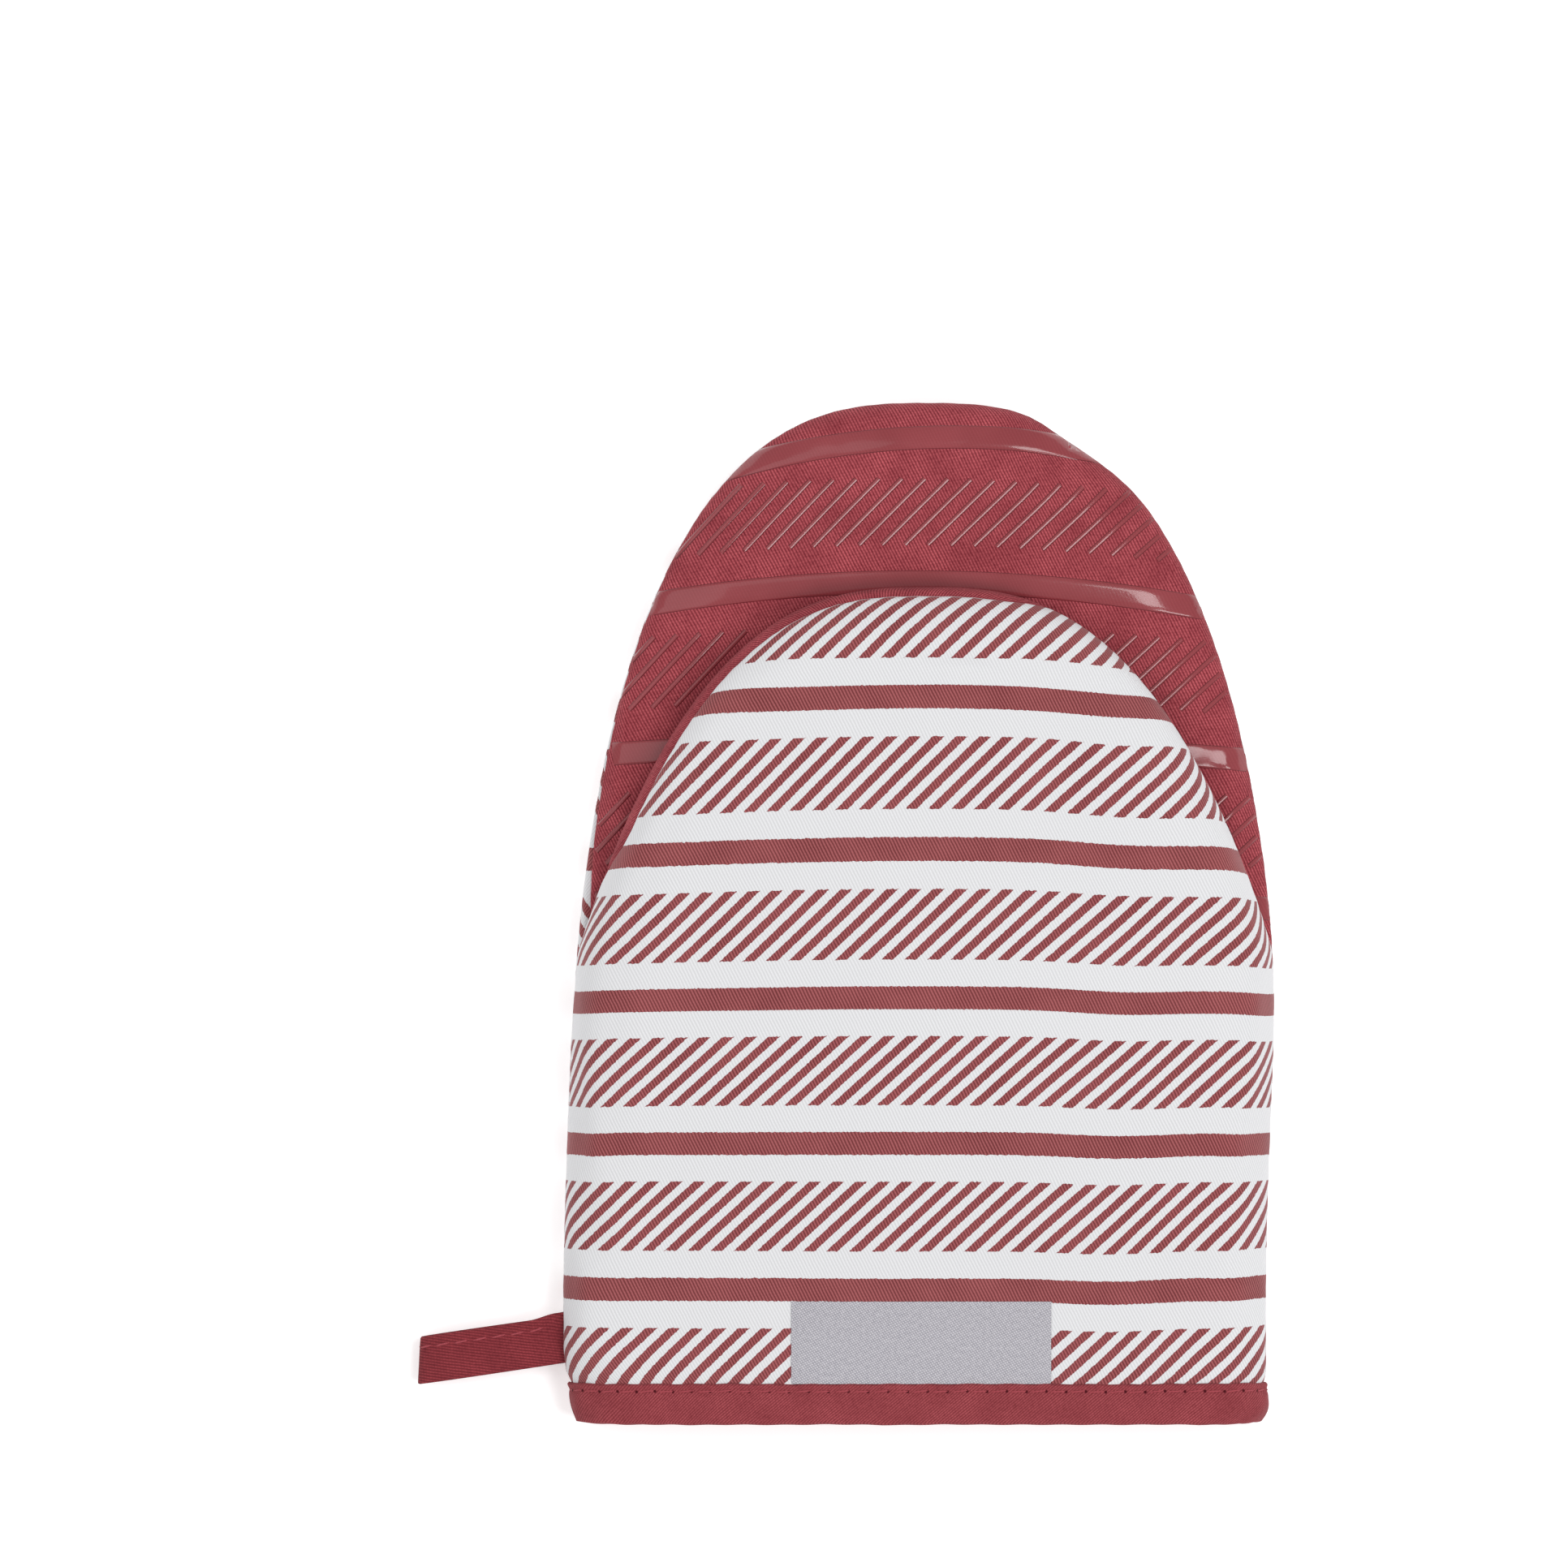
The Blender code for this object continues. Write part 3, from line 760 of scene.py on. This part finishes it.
def crease_fold():
    """The fold that joins the two grips at the bottom of the mouth."""
    steps, turns, thick = 90, 8, SHELL[1]
    half_length = (HALF_WIDTH - 1.2 * MM) * 0.985
    outer, inner, cloth = [], [], []
    for k in range(steps + 1):
        x = half_length * math.sin(math.pi * (k / steps - 0.5))
        low = top_of_fingers(x, CREASE)
        reach = min(max(finger_half_width(CREASE) - abs(x), 0), THUMB_GRIP.roll)
        angle = math.acos((THUMB_GRIP.roll - reach) / THUMB_GRIP.roll)
        high = THUMB_GRIP.edge_point(CREASE, 1, angle, 0)[1]
        rows = ([], [])
        for j in range(turns + 1):
            turn = math.pi * j / turns
            for row, grow in zip(rows, (0, thick)):
                radius = (high - low) / 2 + grow
                h = CREASE + 0.3 * MM - radius * math.sin(turn)
                row.append(world(Vector((x, h, (low + high) / 2 - radius * math.cos(turn)))))
        outer.append(rows[0])
        inner.append(rows[1])
        cloth.append([(x, CREASE + j * 0.3 * MM, 0) for j in range(turns + 1)])
    return solid_grid("crease_fold", outer, inner, cloth, RED_TWILL)


attach(crease_fold(), "hand_side", "red_twill")


# ---------------- printed silicone


def tree_of(piece):
    mesh = piece.data
    return BVHTree.FromPolygons([v.co for v in mesh.vertices], [p.vertices for p in mesh.polygons])


def under_print(tree, panel, x, h):
    """The point and the outward direction of a grip's face at x and h, or None past its edge."""
    at = world(Vector((x, h, 0)))
    hit, normal, _, _ = tree.ray_cast(Vector((at.x, at.y, panel.up * 0.1)), Vector((0, 0, -panel.up)))
    return None if hit is None else (hit, normal if normal.z * panel.up > 0 else -normal)


def raised_strip(tree, panel, line, width, height, profile, spots, faces):
    """Adds a low strip of silicone along a line of (x, h) places, cut off at the outline. A spot is a
    point and its place in the material."""
    run = []
    for k, (x, h) in enumerate(line):
        before, after = line[max(k - 1, 0)], line[min(k + 1, len(line) - 1)]
        way = Vector((after[0] - before[0], after[1] - before[1])).normalized()
        row, inside = [], False
        for across, rise in profile:
            px, ph = x - way.y * width * across, h + way.x * width * across
            limit = panel.half_width(ph) - 0.4 * MM
            inside = inside or abs(px) < limit
            found = under_print(tree, panel, math.copysign(min(abs(px), max(limit, 0)), px), ph)
            if found is None:
                inside = False
                break
            place, normal = found
            facing = smooth((normal.z * panel.up - 0.05) / 0.4)  # a strip thins out on a steep edge
            level = height * rise * (facing if rise > 0 else 1)
            row.append((place + normal * level, (place.x, place.y, (0.5 - abs(across)) * width)))
        if inside:
            run.append(row)
        else:
            close_run(run, spots, faces)
            run = []
    close_run(run, spots, faces)


def close_run(run, spots, faces):
    """Adds the rows gathered so far as a closed piece, if there are enough of them."""
    if len(run) < 3:
        return
    offset, columns = len(spots), len(run[0])
    spots += [spot for row in run for spot in row]
    faces += grid_faces(len(run), columns, offset)
    for r in range(len(run) - 1):
        a, b = offset + r * columns, offset + (r + 1) * columns
        faces.append((a, a + columns - 1, b + columns - 1, b))
    faces.append(tuple(range(offset, offset + columns)))
    last = offset + (len(run) - 1) * columns
    faces.append(tuple(range(last, last + columns)))


def arched(x, h, drop, tilt):
    """A place on a printed line that drops towards both sides and tilts down to the right."""
    share = x / HALF_WIDTH
    return x, h - drop * share**2 - tilt * share


# Cross sections, as shares of the width and of the height. A rib's crest is nearer its lower edge.
BAR = (
    (-0.5, -0.2), (-0.47, 0.4), (-0.38, 0.85), (-0.2, 1), (0.2, 1), (0.38, 0.85), (0.47, 0.4),
    (0.5, -0.2),
)
RIB = (
    (-0.5, -0.2), (-0.44, 0.3), (-0.38, 0.5), (-0.33, 0.6), (-0.3, 0.665), (-0.05, 0.97), (0.0, 1),
    (0.12, 0.93), (0.28, 0.6), (0.42, 0.2), (0.5, -0.2),
)


def silicone_piece(name, grip, panel, body, strips, profile, nodes=()):
    tree, spots, faces = tree_of(grip), [], []
    for line, width, height in strips:
        raised_strip(tree, panel, line, width, height, profile, spots, faces)
    points, places = zip(*spots)
    piece = mesh_object(name, points, faces, places, SILICONE, smooth_angle=75)
    attach(piece, body, "red_silicone", *nodes)


def bars(prefix, grip, panel, body, settings):
    steps, width, height = 160, 4.7 * MM, 0.22 * MM
    for number, (middle, drop, tilt) in enumerate(settings, 1):
        across = [HALF_WIDTH * (2 * k / steps - 1) for k in range(steps + 1)]
        strip = ([arched(x, middle, drop, tilt) for x in across], width, height)
        name = f"{prefix}_bar_{number}"
        silicone_piece(f"{name}_print", grip, panel, body, [strip], BAR, [name])


def ribs(prefix, grip, panel, body, settings):
    """Rows of thin slanting ribs between the bars."""
    steps, width, height = 16, 1.05 * MM, 0.23 * MM
    pitch, phase = 4.56 * MM, -4.2 * MM
    for number, (low, high, drop, tilt) in enumerate(settings, 1):
        rises = [(high - low) * j / steps for j in range(steps + 1)]
        strips = []
        for k in range(-18, 17):
            foot = k * pitch + phase
            line = [arched(foot + rise, low + rise, drop, tilt) for rise in rises]
            strips.append((line, width, height))
        silicone_piece(f"{prefix}_ribs_{number}", grip, panel, body, strips, RIB)


# Height from the cuff, drop at the full width, and tilt down to the right
bars("finger_grip", finger_grip, FINGER_GRIP, "hand_side", [
    (195.9 * MM, 15.2 * MM, -2.4 * MM), (167.2 * MM, 7.8 * MM, 0.5 * MM),
    (134.9 * MM, 3.0 * MM, 0.6 * MM), (104.9 * MM, 2.2 * MM, 0.5 * MM),
])
ribs("finger_grip", finger_grip, FINGER_GRIP, "hand_side", [
    (174.65 * MM, 187.7 * MM, 6 * MM, 0.8 * MM), (144.3 * MM, 158.3 * MM, 4 * MM, 0.5 * MM),
    (113.5 * MM, 127.2 * MM, 3 * MM, 0.3 * MM),
])
bars("thumb_grip", thumb_grip, THUMB_GRIP, "thumb_side", [
    (110.5 * MM, 2 * MM, 0.5 * MM), (140.0 * MM, 4 * MM, 0.8 * MM),
])
ribs("thumb_grip", thumb_grip, THUMB_GRIP, "thumb_side", [(118 * MM, 132 * MM, 3 * MM, 0.5 * MM)])


# ---------------- binding, label, loop and stitches


def cuff_ring(depth):
    """Points round the wrist section at that depth."""
    h = 4 * MM
    over, under = (panel.row(h, depth, 0.0, 20, 58)[0] for panel in (FRONT, BACK))
    return [Vector((p.x, h, p.z)) for p in over[1:] + under[-2:0:-1]]


OUTSIDE = 22  # rows of the binding's outer face
TAPE = 0.55 * MM  # the binding's thickness


def binding_stations():
    """(height, depth, turn) of the binding's rows, from its outer edge round the fold to its inner."""
    outside, inside = -0.12 * MM, LINING[1] + 0.15 * MM
    middle, raw_edge, steps = LINING[1] / 2, 1.4 * MM, 10
    stations = [(BINDING_WIDTH * (1 - k / OUTSIDE), outside, 0.0) for k in range(OUTSIDE)]
    for k in range(steps + 1):
        turn = math.pi * k / steps
        h = TAPE + (raw_edge - TAPE) * (1 - math.sin(turn))
        stations.append((h, middle - (middle - outside) * math.cos(turn), turn))
    return stations + [(BINDING_WIDTH * k / steps, inside, math.pi) for k in range(2, steps + 1)]


def cuff_binding():
    """A bias tape folded round the raw edge, with slanting puckers between its stitches."""
    stations = binding_stations()
    outer, inner, cloth = [], [], []
    base = cuff_ring(stations[0][1])
    for number, (h, depth, turn) in enumerate(stations):
        seen = number < OUTSIDE
        swell = 0.35 * MM * math.sin(math.pi * min(max(h / BINDING_WIDTH, 0), 1)) if seen else 0
        sewn = math.exp(-(((h - STITCH_ROW) / (0.55 * MM)) ** 2)) if seen else 0
        row, along = [], 0.0
        ring = cuff_ring(depth)
        for k, p in enumerate(ring):
            along += (base[k] - base[k - 1]).length if k else 0.0
            pucker = 0.12 * MM * math.sin(2 * math.pi * (along - 0.7 * h) / (7.9 * MM))
            pucker += 0.18 * MM * wave(along, h, 13 * MM, 5)
            drawn = (0.3 + 0.16 * math.sin(2 * math.pi * along / STITCH_PITCH)) * MM * sewn
            way = (ring[(k + 1) % len(ring)] - ring[k - 1]).normalized()
            out = Vector((-way.z, 0, way.x))
            spot = Vector((p.x, h + pucker * 0.5, p.z)) + out * (pucker + swell - drawn)
            face = out * math.cos(turn) - Vector((0, math.sin(turn), 0))
            row.append((spot, face, along))
        thick = TAPE * (0.2 if number in (0, len(stations) - 1) else 1.0)
        outer.append([world(spot + face * thick) for spot, face, _ in row])
        inner.append([world(spot) for spot, _, _ in row])
        cloth.append([(place, h if seen else -h, 0) for _, _, place in row])
    return outer, inner, cloth


def stitches(name, line, normals, pitch, length, radius, cyclic=False):
    """Separate stitches along a line. Each is a short thread that sinks in at both ends."""
    total = [0.0]
    closed = line + line[:1] if cyclic else line
    for a, b in zip(closed, closed[1:]):
        total.append(total[-1] + (b - a).length)
    outs = normals + normals[:1] if cyclic else normals

    def at(distance):
        distance = distance % total[-1] if cyclic else min(max(distance, 0), total[-1])
        k = next(i for i in range(1, len(total)) if total[i] >= distance - 1e-9)
        share = (distance - total[k - 1]) / max(total[k] - total[k - 1], 1e-9)
        return closed[k - 1].lerp(closed[k], share), outs[k - 1].lerp(outs[k], share).normalized()

    points, faces = [], []
    rings, sides, slant = 7, 6, 0.12 * MM
    for number in range(int(total[-1] / pitch)):
        start, run = number * pitch, []
        for r in range(rings):
            share = r / (rings - 1)
            middle, out = at(start + length * share)
            ahead, _ = at(start + length * share + 0.1 * MM)
            way = (ahead - middle).normalized()
            side = out.cross(way)
            swell = math.sin(math.pi * min(max(share, 0.04), 0.96)) ** 0.5
            centre = middle + out * (radius * (1.5 * swell - 1.1)) + side * slant * (2 * share - 1)
            run.append([
                centre + (side * math.cos(turn) + out * math.sin(turn)) * radius * (0.45 + 0.55 * swell)
                for turn in (2 * math.pi * s / sides for s in range(sides))
            ])
        offset = len(points)
        points += [p for row in run for p in row]
        for r in range(rings - 1):
            for s in range(sides):
                t = (s + 1) % sides
                a, b = offset + r * sides, offset + (r + 1) * sides
                faces.append((a + s, a + t, b + t, b + s))
        faces.append(tuple(offset + s for s in range(sides))[::-1])
        faces.append(tuple(offset + (rings - 1) * sides + s for s in range(sides)))
    return mesh_object(name, points, faces, None, THREAD, smooth_angle=80)


def bound_cuff():
    """The binding and its topstitching."""
    outer, inner, cloth = cuff_binding()
    binding = solid_grid("bias_binding", outer, inner, cloth, BIAS_TAPE, ring=True)
    attach(binding, "hand_side", "red_tape", "cuff_binding")
    line = outer[round(OUTSIDE * (1 - STITCH_ROW / BINDING_WIDTH))]
    outs = []
    for k in range(len(line)):
        way = (line[(k + 1) % len(line)] - line[k - 1]).normalized()
        outs.append(Vector((-way.z, 0, way.x)).normalized())
    row = stitches("cuff_topstitching", line, outs, STITCH_PITCH, STITCH_LENGTH, 0.2 * MM, True)
    attach(row, "hand_side", "red_thread", "cuff_stitching")


bound_cuff()


def label():
    """A blank woven label, caught under the binding, thinner and lifted a little at its top and sides.
    """
    low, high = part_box("label")
    width, height, thick = high.x - low.x, high.y - low.y, 0.26 * MM
    aside = 1.2 * MM  # about makes up for the lean at the cuff
    tree = tree_of(front)
    outer, inner, cloth = [], [], []
    rows, columns = 16, 40
    for r in range(rows + 1):
        h = low.y - CUFF - 0.3 * MM + (height + 0.9 * MM) * r / rows
        line = ([], [])
        for c in range(columns + 1):
            x = width * (c / columns - 0.5)
            hit = under_print(tree, FRONT, x + aside, h)[0]
            edge = min(c, columns - c, rows - r)
            lift = 0.05 * MM + 0.1 * MM * max(1 - edge / 3, 0) * (0.5 + 0.5 * wave(x, h, 9 * MM, 2))
            soft = thick * (0.45 if edge == 0 else 0.9 if edge == 1 else 1)
            line[0].append(hit + Vector((0, 0, lift + soft)))
            line[1].append(hit + Vector((0, 0, lift)))
        outer.append(line[0])
        inner.append(line[1])
        cloth.append([(width * c / columns, height * r / rows, 0) for c in range(columns + 1)])
    piece = solid_grid("blank_label", outer, inner, cloth, SATIN)
    attach(piece, "hand_side", "grey_satin", "label")


label()


def loop_line(length, half_height, away, steps):
    """The doubled tape's centre line, from its upper end round the eye to its lower end."""
    narrow, first = 0.75 * MM, math.radians(14)
    points = []
    for k in range(steps + 1):
        turn = first + (2 * math.pi - 2 * first) * k / steps
        open_share = math.sin(turn) * math.sin(turn / 2) ** 1.2 / 0.83
        side = 1 if turn < math.pi else -1
        height = side * narrow * abs(math.sin(turn)) ** 0.2 + (half_height - narrow) * open_share
        points.append(Vector((length / 2 * (1 - math.cos(turn)), height)))
    root = -3.2 * MM
    points = [Vector((root, 0.62 * MM))] + points + [Vector((root, -0.62 * MM))]
    moved = []
    for k, at in enumerate(points):
        way = (points[min(k + 1, len(points) - 1)] - points[max(k - 1, 0)]).normalized()
        moved.append(at + away * Vector((-way.y, way.x)))
    return moved


# Half the tape's cross section, as shares of the width and of the thickness
TAPE_EDGES = (
    (-0.5, 0.25), (-0.485, 0.85), (-0.45, 1), (0.38, 1), (0.47, 0.92), (0.5, 0.5), (0.5, 0.2),
)


def divided(profile, parts):
    """The profile's points, with each stretch between two of them divided evenly."""
    points = []
    for (x, y), (next_x, next_y) in zip(profile, profile[1:]):
        for share in (k / parts for k in range(parts)):
            points.append((x + (next_x - x) * share, y + (next_y - y) * share))
    return [*points, profile[-1]]


def hanging_loop():
    """A twill tape, folded lengthwise, topstitched and doubled into a loop."""
    joint = JOINTS["loop_swing"]
    pivot = Vector(joint["pos_m"])
    back = math.asin(-joint["axis"][0])
    droop, width = math.radians(6), 9.3 * MM
    length, half_height = pivot.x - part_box("hanging_loop")[0].x - 0.1 * MM, 3.4 * MM

    def place(at, across):
        out = at.x * math.cos(droop) + at.y * math.sin(droop) - 0.2 * across * at.x / length
        up = at.y * math.cos(droop) - at.x * math.sin(droop)
        if across > 0:
            across *= 1 + 0.16 * smooth(1 - at.x / (6 * MM))
        x = pivot.x - out * math.cos(back) - across * math.sin(back)
        y = pivot.y - out * math.sin(back) + across * math.cos(back)
        return Vector((x, y, pivot.z + up))

    columns = divided(TAPE_EDGES, 4)
    ply, steps, sewn_at = 0.5 * MM, 110, 0.28  # the stitches' place is a share of the width
    grids = []
    for side in (1, -1):
        grid = [[] for _ in range(steps + 3)]
        for across, thick in columns:
            dent = 0.1 * MM * math.exp(-(((across - sewn_at) / 0.05) ** 2)) * side
            line = loop_line(length, half_height, side * ply * thick, steps)
            for k, at in enumerate(line):
                grid[k].append(place(at, across * width) + Vector((0, 0, -dent if at.y > 0 else dent)))
        grids.append(grid)
    line = loop_line(length, half_height, 0, steps)
    along, cloth = 0.0, []
    for k, at in enumerate(line):
        along += (at - line[k - 1]).length if k else 0.0
        cloth.append([(along, across * width, 0) for across, _ in columns])
    tape = solid_grid("loop_tape", *grids, cloth, LOOP_TAPE)
    attach(tape, "loop", "red_tape", "hanging_loop")
    clear_of_seam = 2.8 * MM
    line = [at for at in loop_line(length, half_height, ply, steps) if at.x > clear_of_seam]
    surface = [place(at, sewn_at * width) for at in line]
    across = place(Vector((0, 0)), 1 * MM) - place(Vector((0, 0)), 0)
    outs = []
    for k in range(len(surface)):
        way = surface[min(k + 1, len(surface) - 1)] - surface[max(k - 1, 0)]
        outs.append(way.cross(across).normalized())
    if outs[0].z < 0:
        outs = [-out for out in outs]
    row = stitches("loop_topstitching", surface, outs, 3.8 * MM, 2.7 * MM, 0.2 * MM)
    attach(row, "loop", "red_thread", "loop_stitching")


hanging_loop()


def hidden_stitches(name, line, out, node, body):
    """Stitches inside the mitt, all with the same outward direction."""
    row = stitches(name, line, [Vector(out)] * len(line), 3 * MM, 2.6 * MM, 0.16 * MM)
    attach(row, body, "red_thread", node)


def seam_stitches(name, panel, start, node, body):
    """The lockstitch inside a seam, by the raw edges."""
    line = []
    inset = 3.2 * MM
    heights = panel.rows(3.4 * MM, start)
    for side in (-1, 1):
        half = []
        for h in heights:
            edge = Vector((panel.half_width(h) * side, h))
            inward = (Vector((0, panel.spine(h))) - edge).normalized()
            at = edge + inward * inset
            z = max(panel.seam(h), panel.above_hollow(at.x, h, inset, THREAD_INSET))
            half.append(world(Vector((at.x, at.y, z))))
        line += half if side < 0 else half[-2::-1]
    hidden_stitches(name, line, (0, 0, 1), node, body)


seam_stitches("outer_seam_stitches", BACK, 9 * MM, "outer_seam_thread", "hand_side")
seam_stitches(
    "thumb_seam_stitches", THUMB_GRIP, CREASE + 3 * MM, "thumb_seam_thread", "thumb_side"
)


def crease_stitches():
    """The seam that joins the two grips at the bottom of the mouth."""
    reach, steps = HALF_WIDTH - 5 * MM, 60
    line = []
    for k in range(steps + 1):
        x = reach * math.sin(math.pi * (k / steps - 0.5))
        line.append(world(Vector((x, CREASE - 1.6 * MM, top_of_fingers(x, CREASE) + 0.6 * MM))))
    hidden_stitches("crease_stitches", line, (0, -1, 0), "crease_seam_thread", "hand_side")


crease_stitches()


# ---------------- floor, light and camera


def area_light(name, at, size, power):
    """A square light that faces the middle of the floor."""
    light = bpy.data.lights.new(name, "AREA")
    light.size, light.energy = size, power
    lamp = bpy.data.objects.new(name, light)
    bpy.context.scene.collection.objects.link(lamp)
    lamp.location = at
    lamp.rotation_euler = (-Vector(at)).to_track_quat("-Z", "Y").to_euler()


def stage():
    """A white floor that gives off a little light of its own, and three lamps above it."""
    bpy.ops.mesh.primitive_plane_add(size=6, location=(0, 0, 0))
    floor = bpy.context.object
    floor.name = "floor"
    paper = bpy.data.materials.new("white_paper")
    paper.use_nodes = True
    shader = paper.node_tree.nodes["Principled BSDF"]
    shader.inputs["Base Color"].default_value = (0.94, 0.94, 0.94, 1)
    shader.inputs["Roughness"].default_value = 1.0
    shader.inputs["Specular IOR Level"].default_value = 0.0
    shader.inputs["Emission Color"].default_value = (1, 1, 1, 1)
    shader.inputs["Emission Strength"].default_value = 0.36
    floor.data.materials.append(paper)

    world_light = bpy.data.worlds.new("studio")
    world_light.use_nodes = True
    world_light.node_tree.nodes["Background"].inputs["Color"].default_value = (1, 1, 1, 1)
    world_light.node_tree.nodes["Background"].inputs["Strength"].default_value = 0.55
    bpy.context.scene.world = world_light
    area_light("key", (0.55, -0.3, 1.15), 0.42, 5.0)
    area_light("fill", (-0.6, 0.15, 1.1), 1.1, 3.4)
    area_light("glint", (0.35, 0.21, 1.15), 0.3, 2.4)
    bpy.context.scene.view_settings.view_transform = "Standard"


def camera():
    """Straight above, with a long lens. The mitt lies right of and below the middle of the picture."""
    seen_width, distance = 312.6 * MM, 3.0
    lens = bpy.data.cameras.new("camera")
    lens.sensor_width = 36
    lens.lens = lens.sensor_width * distance / seen_width
    lens.clip_end = 10
    eye = bpy.data.objects.new("camera", lens)
    bpy.context.scene.collection.objects.link(eye)
    eye.location = (-27 * MM, 25.7 * MM, distance)
    bpy.context.scene.camera = eye


stage()
camera()
